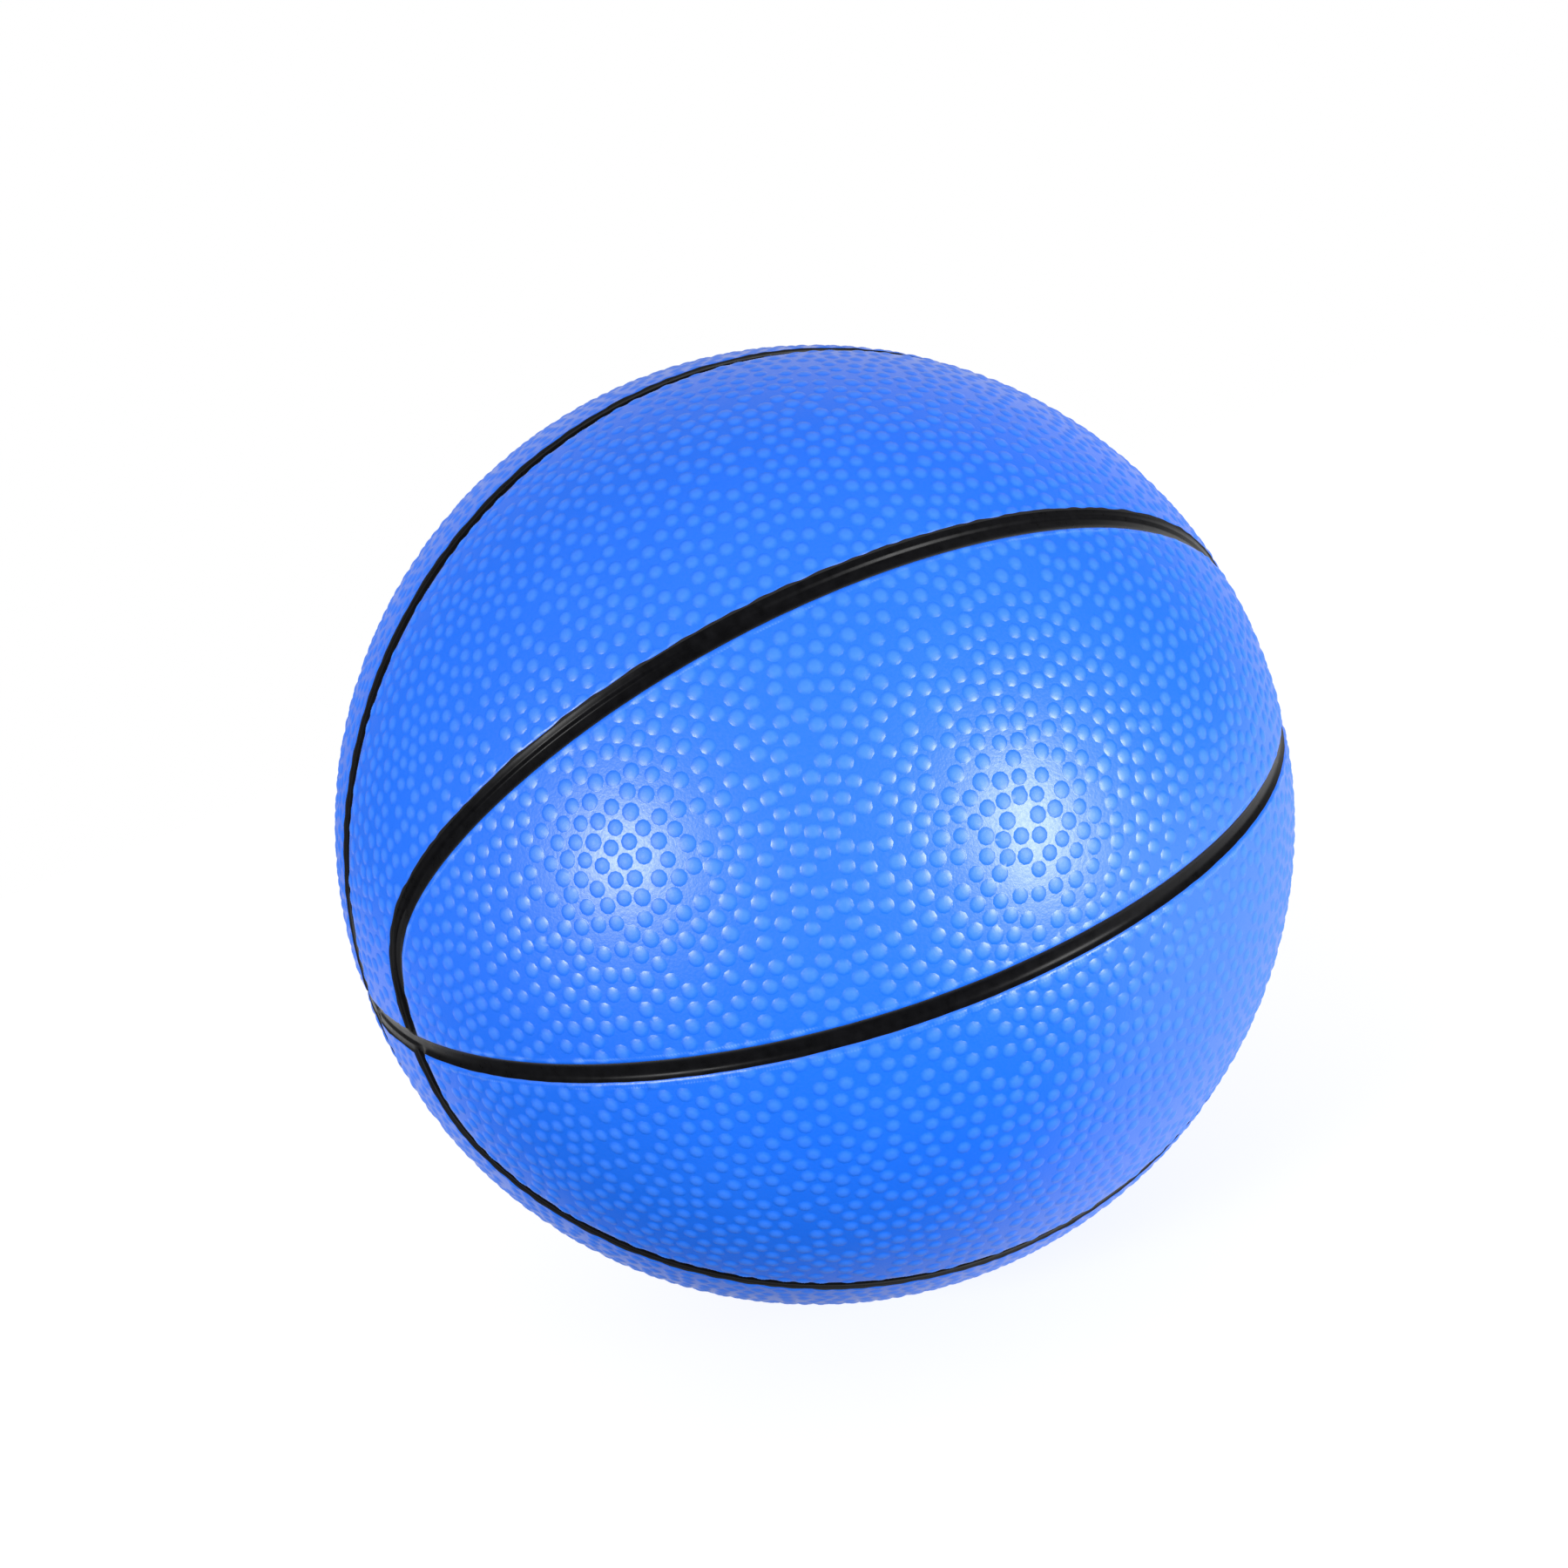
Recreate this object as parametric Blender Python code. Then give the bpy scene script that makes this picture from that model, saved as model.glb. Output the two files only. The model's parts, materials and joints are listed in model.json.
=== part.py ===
"""A mini basketball, laid up as a full-size one is: a bladder with its needle valve, a thread winding, a
carcass, black channel strips along the seams and eight cover panels. Metres, +Z up, origin at its centre.

The horizontal seam lies in the plane z = 0 and the vertical seam in the plane y = 0, and they cross at two
poles on the X axis. One more seam, a rounded loop, goes round the front (-Y) and another round the back (+Y).
A loop is where the ball's surface meets a cone about Y whose section is a superellipse, a shape between an
ellipse and a rectangle."""

import math

import bmesh
import bpy
import numpy as np

# The ball and its layers, from outside in
BALL_DIAMETER = 0.150
COVER_THICKNESS = 0.0012
CARCASS_THICKNESS = 0.0007
WINDING_THICKNESS = 0.0004
BLADDER_THICKNESS = 0.0006
FIT_GAP = 0.0003  # clearance wherever two pieces meet

# The seams: black strips, sunk between the panels
STRIP_WIDTH = 0.0032
STRIP_EDGE_DEPTH = 0.0004  # from the ball's surface to a strip's edges
STRIP_HOLLOW = 0.0004  # from a strip's edges down to its middle
LOOP_LONG_ANGLE = math.radians(75.6)  # from the Y axis to a loop seam, towards a pole
LOOP_SHORT_ANGLE = math.radians(45.7)  # from the Y axis to a loop seam, up or down
LOOP_SQUARENESS = 4.25  # the superellipse's exponent, 2 for an ellipse

# The needle valve, in the middle of the back upper face panel
VALVE_ELEVATION = math.radians(22.5)
VALVE_FACE_DEPTH = 0.0006
VALVE_STEM_RADIUS = 0.0050
VALVE_NECK_RADIUS = 0.0042
VALVE_FLANGE_RADIUS = 0.0100
VALVE_FLANGE_THICKNESS = 0.0012
CORE_LENGTH = 0.0120
CORE_HEAD_RADIUS = 0.0030
CORE_HEAD_THICKNESS = 0.0012
CORE_SHAFT_RADIUS = 0.0022
CORE_TIP_RADIUS = 0.0016
CORE_TIP_LENGTH = 0.0018
NEEDLE_RADIUS = 0.0010
NEEDLE_POCKET_DEPTH = 0.0040
NEEDLE_LEAD_IN = 0.0006

# How finely curved surfaces are divided
SHELL_SUBDIVISIONS = 4
SEAM_STEPS = 26  # along half a seam, shared by its strip and by the panels on both sides
PANEL_STEPS = 6  # across a panel
FINE_STEPS = 1000  # for measuring along a seam
TURN_STEPS = 24
MERGE_DISTANCE = 0.00001

SMOOTH_ANGLE = math.radians(35)  # edges sharper than this stay crisp

# Finishes: colour and roughness
COVER_BLUE = ((0.004, 0.162, 0.956), 0.3)
CHANNEL_BLACK = ((0.006, 0.006, 0.007), 0.2)
CARCASS_GREY = ((0.035, 0.035, 0.038), 0.75)
THREAD_WHITE = ((0.72, 0.70, 0.64), 0.85)
RUBBER_BLACK = ((0.015, 0.015, 0.016), 0.5)


def shell_sag():
    """How far the flat facets of a hollow ball dip under its corners, as a share of its radius."""
    bm = bmesh.new()
    bmesh.ops.create_icosphere(bm, subdivisions=SHELL_SUBDIVISIONS, radius=1)
    sag = 1 - min(face.calc_center_median().length for face in bm.faces)
    bm.free()
    return sag


def panel_sag():
    """The same for a panel, from half the diagonal of its largest facets."""
    along = math.pi / SEAM_STEPS
    across = max(LOOP_SHORT_ANGLE, math.pi / 2 - LOOP_SHORT_ANGLE) / PANEL_STEPS
    return 1 - math.cos(math.hypot(along, across) / 2)


# Worked out from the sizes above
BALL_RADIUS = BALL_DIAMETER / 2
COVER_INNER_RADIUS = BALL_RADIUS - COVER_THICKNESS
CARCASS_RADIUS = COVER_INNER_RADIUS * (1 - panel_sag()) - FIT_GAP / 2  # half a gap under the lowest facets
WINDING_RADIUS = CARCASS_RADIUS - CARCASS_THICKNESS - FIT_GAP
BLADDER_RADIUS = WINDING_RADIUS - WINDING_THICKNESS - FIT_GAP
FLANGE_SEAT_RADIUS = (BLADDER_RADIUS - BLADDER_THICKNESS) * (1 - shell_sag()) - FIT_GAP
PANEL_INSET = STRIP_WIDTH / 2 + FIT_GAP  # from a seam's middle to a panel's edge
INSET_ANGLE = PANEL_INSET / BALL_RADIUS
VALVE_FACE = BALL_RADIUS - VALVE_FACE_DEPTH  # along the valve's axis, from the ball's centre
CORE_SEAT = VALVE_FACE - CORE_HEAD_THICKNESS - FIT_GAP
CORE_TIP = VALVE_FACE - CORE_LENGTH


def clear_scene():
    for obj in list(bpy.data.objects):
        bpy.data.objects.remove(obj, do_unlink=True)


def make_material(name, finish):
    colour, roughness = finish
    material = bpy.data.materials.new(name)
    material.use_nodes = True
    shader = material.node_tree.nodes["Principled BSDF"]
    shader.inputs["Base Color"].default_value = (*colour, 1.0)
    shader.inputs["Roughness"].default_value = roughness
    shader.inputs["Metallic"].default_value = 0.0
    return material


def add_object(name, bm, material=None):
    """A scene object from a finished bmesh, shaded smooth except across sharp edges."""
    mesh = bpy.data.meshes.new(name)
    bm.to_mesh(mesh)
    bm.free()
    mesh.shade_smooth()
    mesh.set_sharp_from_angle(angle=SMOOTH_ANGLE)
    if material:
        mesh.materials.append(material)
    obj = bpy.data.objects.new(name, mesh)
    bpy.context.scene.collection.objects.link(obj)
    return obj


def seam_stations(curve, start, end):
    """Unit directions along curve(t), closer together where it bends, and at each one the unit direction
    across the curve, towards +Y on these seams."""
    fine = np.linspace(start, end, FINE_STEPS + 1)
    steps = np.diff([curve(t) for t in fine], axis=0)
    length = np.linalg.norm(steps, axis=1)
    heading = steps / length[:, None]
    bend = np.linalg.norm(np.diff(heading, axis=0), axis=1)
    run = np.cumsum(length + np.append(bend, bend[-1]))
    stations = np.interp(np.linspace(0, run[-1], SEAM_STEPS + 1), np.append(0, run), fine)
    middle = np.array([curve(t) for t in stations])
    nudge = (end - start) / FINE_STEPS
    ahead = np.array([curve(t + nudge) - curve(t - nudge) for t in stations])
    across = np.cross(ahead, middle)
    return middle, across / np.linalg.norm(across, axis=1, keepdims=True)


def beside(middle, across, distance):
    """The directions at a distance over the ball's surface from a seam's middle."""
    angle = distance / BALL_RADIUS
    return math.cos(angle) * middle + math.sin(angle) * across


def vertical_seam():
    """The upper half of the vertical seam, from pole to pole, clear of the horizontal strip."""

    def curve(t):
        return np.array((math.cos(t), 0, math.sin(t)))

    return seam_stations(curve, INSET_ANGLE, math.pi - INSET_ANGLE)


def front_loop_seam():
    """The upper half of the front loop, from pole to pole, clear of the horizontal strip."""
    slope_x = 1 / math.tan(LOOP_LONG_ANGLE)
    slope_z = 1 / math.tan(LOOP_SHORT_ANGLE)

    def curve(t):
        along = abs(slope_x * math.cos(t)) ** LOOP_SQUARENESS
        upward = abs(slope_z * math.sin(t)) ** LOOP_SQUARENESS
        point = np.array((math.cos(t), -((along + upward) ** (1 / LOOP_SQUARENESS)), math.sin(t)))
        return point / np.linalg.norm(point)

    start = math.asin(math.sin(INSET_ANGLE) / math.sin(LOOP_LONG_ANGLE))
    return seam_stations(curve, start, math.pi - start)


def face_edges():
    """The two long edges of the front upper face panel: above the horizontal seam and inside the loop."""
    top = beside(*front_loop_seam(), -PANEL_INSET)
    turn = math.atan2(top[0][0], -top[0][1])
    turns = np.linspace(turn, -turn, SEAM_STEPS + 1)
    flat = math.cos(INSET_ANGLE)
    bottom = [(flat * math.sin(t), -flat * math.cos(t), math.sin(INSET_ANGLE)) for t in turns]
    bottom[0], bottom[-1] = top[0], top[-1]
    return np.array(bottom), top


def crown_edges():
    """The two long edges of the front upper crown panel: outside the loop, in front of the vertical seam."""
    return beside(*front_loop_seam(), PANEL_INSET), beside(*vertical_seam(), -PANEL_INSET)


def panel_bmesh(edges, mirror):
    """A curved panel: a sheet on the ball's surface between two edges, extruded towards the centre."""
    bm = bmesh.new()
    sheet = []
    for first, second in zip(*edges):
        points = [first + share * (second - first) for share in np.linspace(0, 1, PANEL_STEPS + 1)]
        sheet.append([bm.verts.new(p / np.linalg.norm(p) * mirror * BALL_RADIUS) for p in points])
    for left, right in zip(sheet, sheet[1:]):
        for j in range(PANEL_STEPS):
            bm.faces.new((left[j], right[j], right[j + 1], left[j + 1]))
    bmesh.ops.remove_doubles(bm, verts=bm.verts, dist=MERGE_DISTANCE)
    made = bmesh.ops.extrude_face_region(bm, geom=bm.faces[:])
    for element in made["geom"]:
        if isinstance(element, bmesh.types.BMVert):
            element.co *= COVER_INNER_RADIUS / BALL_RADIUS
    bmesh.ops.recalc_face_normals(bm, faces=bm.faces)
    return bm


def add_panels(material):
    """A face panel inside each loop and a crown panel outside it, above and below the horizontal seam."""
    panels = {}
    for kind, edges in (("face", face_edges()), ("crown", crown_edges())):
        for side, flip_y in (("front", 1), ("back", -1)):
            for level, flip_z in (("upper", 1), ("lower", -1)):
                name = f"panel_{side}_{level}_{kind}"
                panels[name] = add_object(name, panel_bmesh(edges, np.array((1, flip_y, flip_z))), material)
    return panels


def strip_bmesh(seam, mirror, closed=False):
    """A channel strip swept along a seam, with a hollow top."""
    half = STRIP_WIDTH / 2
    edge = BALL_RADIUS - STRIP_EDGE_DEPTH
    outline = (
        (-half, COVER_INNER_RADIUS),
        (half, COVER_INNER_RADIUS),
        (half, edge),
        (0, edge - STRIP_HOLLOW),
        (-half, edge),
    )
    lines = [radius * beside(*seam, reach) * mirror for reach, radius in outline]
    bm = bmesh.new()
    rings = [[bm.verts.new(point) for point in ring] for ring in zip(*lines)]
    pairs = list(zip(rings, rings[1:]))
    if closed:
        pairs.append((rings[-1], rings[0]))
    else:
        bm.faces.new(rings[0])
        bm.faces.new(rings[-1])
    for first, second in pairs:
        for i in range(len(outline)):
            bm.faces.new((first[i - 1], first[i], second[i], second[i - 1]))
    bmesh.ops.recalc_face_normals(bm, faces=bm.faces)
    return bm


def horizontal_seam():
    """The whole horizontal seam, as evenly spaced stations."""
    turns = np.linspace(0, 2 * math.pi, 2 * SEAM_STEPS, endpoint=False)
    middle = np.array([(math.cos(t), math.sin(t), 0) for t in turns])
    return middle, np.tile((0.0, 0.0, 1.0), (len(turns), 1))


def add_strips(material):
    """The horizontal strip is a whole ring. The vertical one and both loops are halves that butt on it."""
    whole_ring = strip_bmesh(horizontal_seam(), np.ones(3), closed=True)
    add_object("channel_strip_horizontal", whole_ring, material)
    halves = (
        ("vertical", vertical_seam(), 1),
        ("front_loop", front_loop_seam(), 1),
        ("back_loop", front_loop_seam(), -1),
    )
    for name, seam, flip_y in halves:
        for level, flip_z in (("upper", 1), ("lower", -1)):
            strip = strip_bmesh(seam, np.array((1, flip_y, flip_z)))
            add_object(f"channel_strip_{name}_{level}", strip, material)


def shell_bmesh(outer_radius, thickness):
    """A whole hollow ball. The valve's opening is cut afterwards."""
    bm = bmesh.new()
    bmesh.ops.create_icosphere(bm, subdivisions=SHELL_SUBDIVISIONS, radius=outer_radius)
    inner = bmesh.ops.create_icosphere(bm, subdivisions=SHELL_SUBDIVISIONS, radius=outer_radius - thickness)
    inside = {face for vert in inner["verts"] for face in vert.link_faces}
    bmesh.ops.reverse_faces(bm, faces=list(inside))
    return bm


def turned_object(name, profile, closed, material):
    """A round piece turned about Z from (radius, height) points that run down its outer side."""
    bm = bmesh.new()
    verts = [bm.verts.new((radius, 0, height)) for radius, height in profile]
    for first, second in zip(verts, verts[1:]):
        bm.edges.new((first, second))
    if closed:
        bm.edges.new((verts[-1], verts[0]))
    obj = add_object(name, bm, material)
    screw = obj.modifiers.new("turn", "SCREW")
    screw.axis = "Z"
    screw.steps = TURN_STEPS
    screw.render_steps = TURN_STEPS
    screw.use_merge_vertices = True
    screw.merge_threshold = MERGE_DISTANCE
    return obj


def housing_profile():
    """The valve's rubber housing: a stem through every layer, a flange in the bladder and a bored neck."""
    head_bore = CORE_HEAD_RADIUS + FIT_GAP
    bore = CORE_SHAFT_RADIUS + FIT_GAP
    shoulder = math.sqrt(FLANGE_SEAT_RADIUS**2 - VALVE_STEM_RADIUS**2)
    rim = math.sqrt(FLANGE_SEAT_RADIUS**2 - VALVE_FLANGE_RADIUS**2)
    return (
        (head_bore, VALVE_FACE),
        (VALVE_STEM_RADIUS, VALVE_FACE),
        (VALVE_STEM_RADIUS, shoulder),
        (VALVE_FLANGE_RADIUS, rim),
        (VALVE_FLANGE_RADIUS, rim - VALVE_FLANGE_THICKNESS),
        (VALVE_NECK_RADIUS, shoulder - VALVE_FLANGE_THICKNESS),
        (VALVE_NECK_RADIUS, CORE_TIP),
        (bore, CORE_TIP),
        (bore, CORE_SEAT),
        (head_bore, CORE_SEAT),
    )


def core_profile():
    """The valve's core: a plug that slides out of the housing, with a needle pocket in its flat head."""
    return (
        (0, VALVE_FACE - NEEDLE_POCKET_DEPTH),
        (NEEDLE_RADIUS, VALVE_FACE - NEEDLE_POCKET_DEPTH),
        (NEEDLE_RADIUS, VALVE_FACE - NEEDLE_LEAD_IN),
        (NEEDLE_RADIUS + NEEDLE_LEAD_IN, VALVE_FACE),
        (CORE_HEAD_RADIUS, VALVE_FACE),
        (CORE_HEAD_RADIUS, VALVE_FACE - CORE_HEAD_THICKNESS),
        (CORE_SHAFT_RADIUS, VALVE_FACE - CORE_HEAD_THICKNESS),
        (CORE_SHAFT_RADIUS, CORE_TIP + CORE_TIP_LENGTH),
        (CORE_TIP_RADIUS, CORE_TIP),
        (0, CORE_TIP),
    )


def add_valve_axis():
    """An empty at the ball's centre whose Z axis runs out through the valve."""
    axis = bpy.data.objects.new("valve_axis", None)
    axis.rotation_euler = (VALVE_ELEVATION - math.pi / 2, 0, 0)
    bpy.context.scene.collection.objects.link(axis)
    return axis


def add_valve_cutter(axis):
    """The round hole that the valve's stem needs through the panel and every layer under it."""
    hole_radius = VALVE_STEM_RADIUS + FIT_GAP
    bm = bmesh.new()
    bmesh.ops.create_cone(
        bm,
        cap_ends=True,
        segments=TURN_STEPS,
        radius1=hole_radius,
        radius2=hole_radius,
        depth=BALL_RADIUS,
    )
    bmesh.ops.translate(bm, verts=bm.verts, vec=(0, 0, BALL_RADIUS))
    cutter = add_object("valve_hole_cutter", bm)
    cutter.hide_render = True
    cutter.display_type = "WIRE"
    cutter.parent = axis
    return cutter


def cut_valve_hole(obj, cutter):
    modifier = obj.modifiers.new("valve_hole", "BOOLEAN")
    modifier.operation = "DIFFERENCE"
    modifier.solver = "EXACT"
    modifier.object = cutter


def main():
    clear_scene()
    axis = add_valve_axis()
    cutter = add_valve_cutter(axis)

    panels = add_panels(make_material("cover_blue", COVER_BLUE))
    cut_valve_hole(panels["panel_back_upper_face"], cutter)
    add_strips(make_material("channel_black", CHANNEL_BLACK))

    layers = (
        ("carcass", CARCASS_RADIUS, CARCASS_THICKNESS, CARCASS_GREY),
        ("thread_winding", WINDING_RADIUS, WINDING_THICKNESS, THREAD_WHITE),
        ("bladder", BLADDER_RADIUS, BLADDER_THICKNESS, RUBBER_BLACK),
    )
    for name, radius, thickness, finish in layers:
        shell = add_object(name, shell_bmesh(radius, thickness), make_material(name, finish))
        cut_valve_hole(shell, cutter)

    valve_rubber = make_material("valve_rubber", RUBBER_BLACK)
    turned_object("valve_housing", housing_profile(), True, valve_rubber).parent = axis
    turned_object("valve_core", core_profile(), False, valve_rubber).parent = axis


main()
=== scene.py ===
# %% [markdown]
# # A mini basketball, dressed in Blender
# The frame holds the twenty pieces of the ball at their real size, in metres, with the ball's centre at the
# origin. They are plain: smooth panels, straight strips, bare layers. This script keeps every place and size
# and models again what shows, which is the pebbled cover, the black channels and the valve. The layers under
# the cover keep their CAD shape and get a material each.

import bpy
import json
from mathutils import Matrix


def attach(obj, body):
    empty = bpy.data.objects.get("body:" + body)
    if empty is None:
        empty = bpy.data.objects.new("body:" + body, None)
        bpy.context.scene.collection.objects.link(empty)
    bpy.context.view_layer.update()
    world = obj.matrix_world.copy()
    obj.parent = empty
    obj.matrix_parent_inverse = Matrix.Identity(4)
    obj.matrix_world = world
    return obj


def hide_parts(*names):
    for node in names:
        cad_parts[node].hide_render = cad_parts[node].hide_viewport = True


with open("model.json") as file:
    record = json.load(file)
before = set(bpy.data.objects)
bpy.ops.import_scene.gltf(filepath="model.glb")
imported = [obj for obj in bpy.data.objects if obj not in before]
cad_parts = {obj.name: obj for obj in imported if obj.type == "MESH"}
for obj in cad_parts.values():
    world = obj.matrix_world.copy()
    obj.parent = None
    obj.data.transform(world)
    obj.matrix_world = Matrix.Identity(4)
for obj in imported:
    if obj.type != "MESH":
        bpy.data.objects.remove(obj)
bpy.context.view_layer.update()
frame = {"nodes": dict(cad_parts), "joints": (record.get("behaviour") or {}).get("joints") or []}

# %% Read the sizes that the frame gives
import json
import math

import bpy
import numpy as np
from mathutils import Matrix, Vector, kdtree
from mathutils.geometry import delaunay_2d_cdt

MM = 0.001


def reach(node):
    """The least and the greatest distance of a CAD node's corners from the ball's centre."""
    lengths = [corner.co.length for corner in frame["nodes"][node].data.vertices]
    return min(lengths), max(lengths)


COVER_INNER, BALL_RADIUS = reach("panel_front_upper_face")
VALVE_AXIS = Vector(frame["joints"][0]["axis"]).normalized()
print(f"ball radius {BALL_RADIUS / MM:.2f} mm, under the cover {COVER_INNER / MM:.2f} mm")

# %% [markdown]
# ## The camera
# The photograph shows the ball turned: its upright axis leans to the left. So the camera is placed by its
# direction from the ball and then rolled, and the ball stays where the frame has it. The ball sits a little
# low and right of the middle of the image, so the camera aims just past its centre, with no lens shift.

# %% Camera
IMAGE_PIXELS = 1800
FOCAL_PIXELS = 3011
BALL_IN_IMAGE = (34.3, 45.3)  # pixels right of the image's middle and below it
CAMERA_AZIMUTH = math.radians(-15.25)
CAMERA_ELEVATION = math.radians(21.15)
CAMERA_ROLL = math.radians(16.75)
CAMERA_DISTANCE = 5.553 * BALL_RADIUS
CLIP_START = 0.01


def direction(azimuth, elevation):
    """The unit vector from the ball towards a place round it. Azimuth 0 is the front, which is -Y."""
    level = math.cos(elevation)
    return Vector((math.sin(azimuth) * level, -math.cos(azimuth) * level, math.sin(elevation)))


def add_camera():
    back = direction(CAMERA_AZIMUTH, CAMERA_ELEVATION)
    level_right = Vector((math.cos(CAMERA_AZIMUTH), math.sin(CAMERA_AZIMUTH), 0))
    level_up = back.cross(level_right)
    right = math.cos(CAMERA_ROLL) * level_right - math.sin(CAMERA_ROLL) * level_up
    up = math.sin(CAMERA_ROLL) * level_right + math.cos(CAMERA_ROLL) * level_up
    aside, below = BALL_IN_IMAGE
    place = (FOCAL_PIXELS * back - aside * right + below * up).normalized() * CAMERA_DISTANCE
    bpy.ops.object.camera_add()
    camera = bpy.context.object
    turn = Matrix((right, up, back)).transposed().to_4x4()
    camera.matrix_world = Matrix.Translation(place) @ turn
    camera.data.lens = camera.data.sensor_width * FOCAL_PIXELS / IMAGE_PIXELS
    camera.data.clip_start = CLIP_START
    bpy.context.scene.camera = camera
    return camera


camera = add_camera()
print(f"camera {camera.location.length:.3f} m from the ball, lens {camera.data.lens:.1f} mm")

# %% [markdown]
# ## The studio
# Two softboxes, one on each side of the camera, make the two round highlights. Each stands where the camera
# sees it mirrored in the ball. The rest of the light is nearly even and comes from the world. The camera
# sees the world and the floor as plain white. A ray mirrored in the ball sees them bright behind and on the
# right and dim in front and on the left, where the photograph's ball is darkest. The floor is a matt sheet
# that glows, so it reads as white, throws some light up at the ball and still shows the ball's shadow.

# %% Softboxes


def add_softbox(name, azimuth, elevation, distance, width, height, radiance):
    """A rectangular lamp that faces the ball, in degrees and metres. Its power follows from its radiance."""
    place = direction(math.radians(azimuth), math.radians(elevation)) * distance
    bpy.ops.object.light_add(type="AREA", location=place)
    lamp = bpy.context.object
    lamp.name = name
    lamp.rotation_euler = place.to_track_quat("Z", "Y").to_euler()
    lamp.data.shape = "RECTANGLE"
    lamp.data.size = width
    lamp.data.size_y = height
    lamp.data.energy = math.pi * radiance * width * height
    lamp.visible_camera = False


bpy.context.scene.view_settings.view_transform = "Standard"
add_softbox(
    "softbox_right", azimuth=27.4, elevation=3.7, distance=0.48, width=0.116, height=0.21, radiance=19.8
)
add_softbox(
    "softbox_left", azimuth=-60.7, elevation=20.8, distance=0.8, width=0.2, height=0.2, radiance=25
)

# %% Node helpers


def add_node(tree, kind, inputs, **settings):
    """A node with its settings, and with inputs that are numbers, colours or other nodes' outputs."""
    node = tree.nodes.new(kind)
    for setting, value in settings.items():
        setattr(node, setting, value)
    for key, value in inputs.items():
        if isinstance(value, bpy.types.NodeSocket):
            tree.links.new(value, node.inputs[key])
        else:
            node.inputs[key].default_value = value
    return node


def mix_number(tree, factor, first, second):
    return add_node(tree, "ShaderNodeMix", {0: factor, 2: first, 3: second}).outputs[0]


def combine(tree, operation, first, second):
    """The sum, the product or the greater of two numbers."""
    return add_node(tree, "ShaderNodeMath", {0: first, 1: second}, operation=operation).outputs[0]


# %% World and floor
WORLD_BRIGHTER = (0.405, 0.91, -0.087)  # the way to the bright side
WORLD_SPAN = (0.6, 1)  # where it is dim and where it is bright, along that way
WORLD_FILL = (0.82, 0.94)  # strengths on the dim and on the bright side, for light that fills in
WORLD_MIRRORED = (0, 1.1)  # the same for mirrored rays
WORLD_SEEN = 1
FLOOR_SIZE = 0.7
FLOOR_BRIGHTER = (0.64, 0.77, 0)
FLOOR_SPAN = (-0.062, -0.03)
FLOOR_FILL = (0.36, 1)
FLOOR_MIRRORED = (0, 0.9)
FLOOR_SEEN = 0.82
FLOOR_GREY = 0.22
WHITE = (1, 1, 1, 1)


def strength_by_ray(tree, coordinate, brighter, span, fill, mirrored, seen):
    """Strengths for light that fills in, for what is mirrored in the ball and for what is seen straight."""
    place = tree.nodes.new("ShaderNodeTexCoord").outputs[coordinate]
    along = add_node(tree, "ShaderNodeVectorMath", {0: place, 1: brighter}, operation="DOT_PRODUCT")
    inputs = {"Value": along.outputs["Value"], "From Min": span[0], "From Max": span[1]}
    side = add_node(tree, "ShaderNodeMapRange", inputs).outputs[0]
    ray = tree.nodes.new("ShaderNodeLightPath").outputs
    is_mirrored = combine(tree, "MAXIMUM", ray["Is Glossy Ray"], ray["Is Transmission Ray"])
    unseen = mix_number(tree, is_mirrored, mix_number(tree, side, *fill), mix_number(tree, side, *mirrored))
    return mix_number(tree, ray["Is Camera Ray"], unseen, seen)


def set_world():
    world = bpy.data.worlds.new("studio")
    world.use_nodes = True
    bpy.context.scene.world = world
    tree = world.node_tree
    background = tree.nodes["Background"]
    background.inputs["Color"].default_value = WHITE
    way = (WORLD_BRIGHTER, WORLD_SPAN, WORLD_FILL, WORLD_MIRRORED)
    strength = strength_by_ray(tree, "Generated", *way, WORLD_SEEN)
    tree.links.new(strength, background.inputs["Strength"])
    world.cycles.sampling_method = "NONE"  # found by rays alone, so each kind of ray gets its own strength


def add_floor():
    bpy.ops.mesh.primitive_plane_add(size=FLOOR_SIZE, location=(0, 0, -BALL_RADIUS))
    floor = bpy.context.object
    floor.name = "floor"
    sheet = bpy.data.materials.new("floor_sheet")
    sheet.use_nodes = True
    tree = sheet.node_tree
    shader = tree.nodes["Principled BSDF"]
    path = tree.nodes.new("ShaderNodeLightPath")
    grey = mix_number(tree, path.outputs["Is Camera Ray"], 0, FLOOR_GREY)
    tree.links.new(grey, shader.inputs["Base Color"])
    shader.inputs["Roughness"].default_value = 1.0
    shader.inputs["Specular IOR Level"].default_value = 0.0
    shader.inputs["Emission Color"].default_value = WHITE
    way = (FLOOR_BRIGHTER, FLOOR_SPAN, FLOOR_FILL, FLOOR_MIRRORED)
    glow = strength_by_ray(tree, "Object", *way, FLOOR_SEEN)
    tree.links.new(glow, shader.inputs["Emission Strength"])
    sheet.cycles.emission_sampling = "NONE"
    floor.data.materials.append(sheet)


set_world()
add_floor()
print("world:", bpy.context.scene.world.name, "with a floor", FLOOR_SIZE, "m wide")

# %% [markdown]
# ## The seams
# Four seams divide the ball: one level, one upright, and a rounded loop on the front and on the back. All
# the new pieces are cut to these lines, so they come first, as functions of a turn. A loop is a cone about Y
# with a superellipse for its section, which is an ellipse with fuller corners. One search tree over all the
# seams then answers the question that every later step asks: how far is this point from the nearest seam?

# %% Seams
LOOP_LONG_ANGLE = math.radians(75.6)
LOOP_SHORT_ANGLE = math.radians(45.7)
LOOP_SQUARENESS = 4.25
SEAM_SAMPLES = 4800
WHOLE_TURN = np.linspace(0, 2 * math.pi, SEAM_SAMPLES)
HALF_TURN = np.linspace(0, math.pi, SEAM_SAMPLES)


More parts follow.
